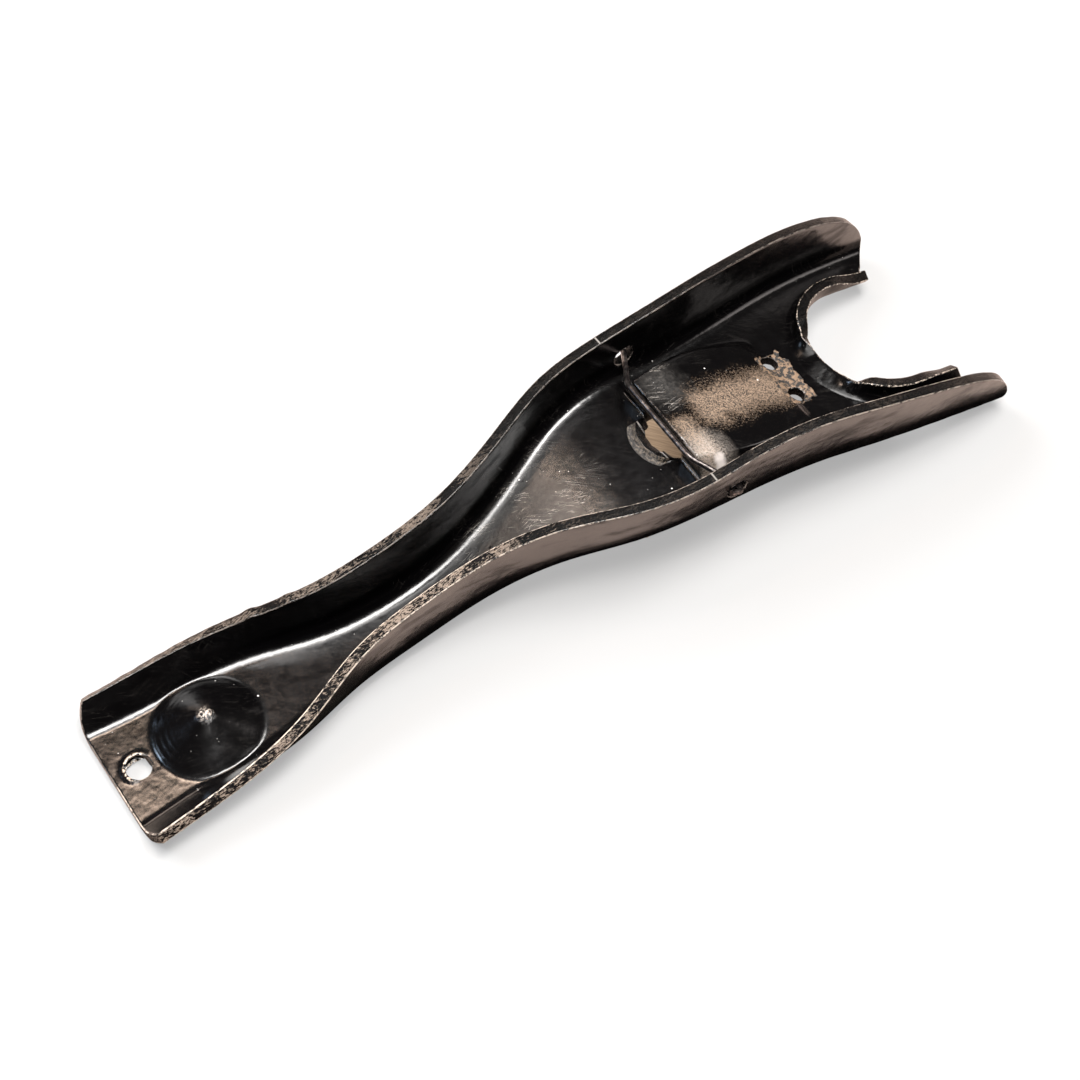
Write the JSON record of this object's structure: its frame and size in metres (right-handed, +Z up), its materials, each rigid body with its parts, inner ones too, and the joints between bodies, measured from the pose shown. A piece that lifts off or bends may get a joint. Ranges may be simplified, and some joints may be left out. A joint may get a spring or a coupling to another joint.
{
  "type": "clutch release fork",
  "caption": "Pressed channel lever that waists in, flares to a raised pivot seat and ends in an open fork mouth, with a wire retaining spring across it.",
  "frame": {"origin": "middle of the length, on the centre plane, at the height of the lowest points it rests on", "axes": "+X along the lever from its outer end to the fork mouth, +Y across, +Z up out of the open side of the channel"},
  "size_m": [0.3, 0.0802, 0.0425],
  "materials": {
    "fork_paint": "gloss black paint over steel",
    "spring_wire": "dark, dull wire"
  },
  "bodies": {
    "root": {"fork_pressing": "fork_paint", "retaining_spring": "spring_wire"}
  },
  "joints": []
}
